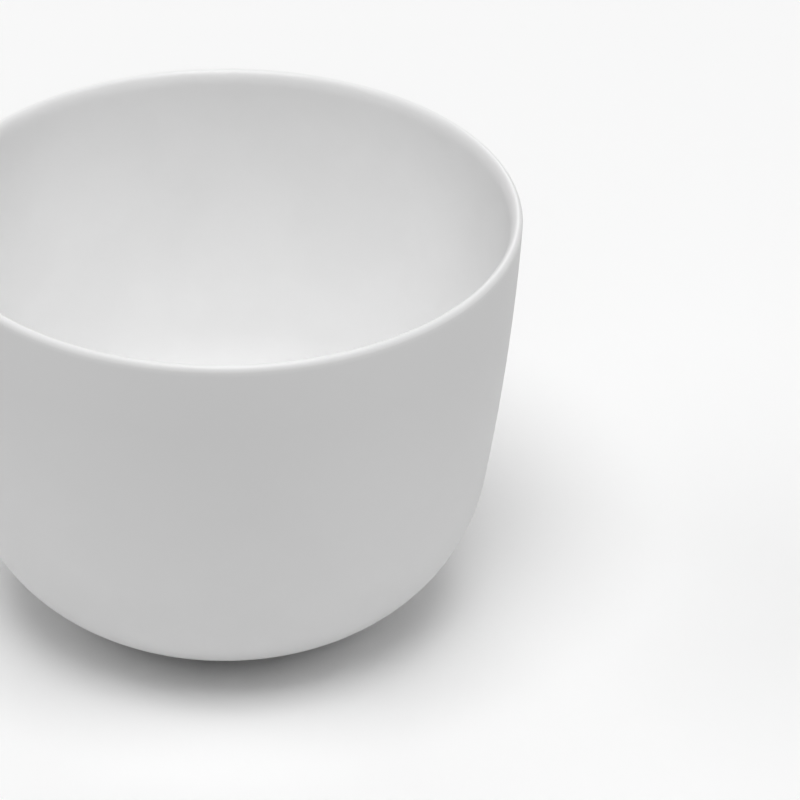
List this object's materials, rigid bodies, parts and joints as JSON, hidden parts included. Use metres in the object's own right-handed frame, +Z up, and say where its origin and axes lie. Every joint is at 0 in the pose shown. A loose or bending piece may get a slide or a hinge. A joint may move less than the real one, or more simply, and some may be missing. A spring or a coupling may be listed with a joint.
{
  "type": "latte bowl",
  "caption": "Handleless white porcelain latte bowl with a thin round rim, a slightly tapering wall, a rounded base and a low foot ring.",
  "frame": {"origin": "centre of the foot ring's bare face, where the bowl stands on the table", "axes": "+Z up along the bowl's axis; the bowl is round about Z, and +X is to the picture's right"},
  "size_m": [0.106, 0.106, 0.08],
  "materials": {
    "bare_porcelain": "matte, unglazed, ground smooth",
    "white_glaze": "satin"
  },
  "bodies": {
    "root": {"porcelain_body": "bare_porcelain", "outer_glaze": "white_glaze", "inner_glaze": "white_glaze", "foot_recess_glaze": "white_glaze"}
  },
  "joints": []
}
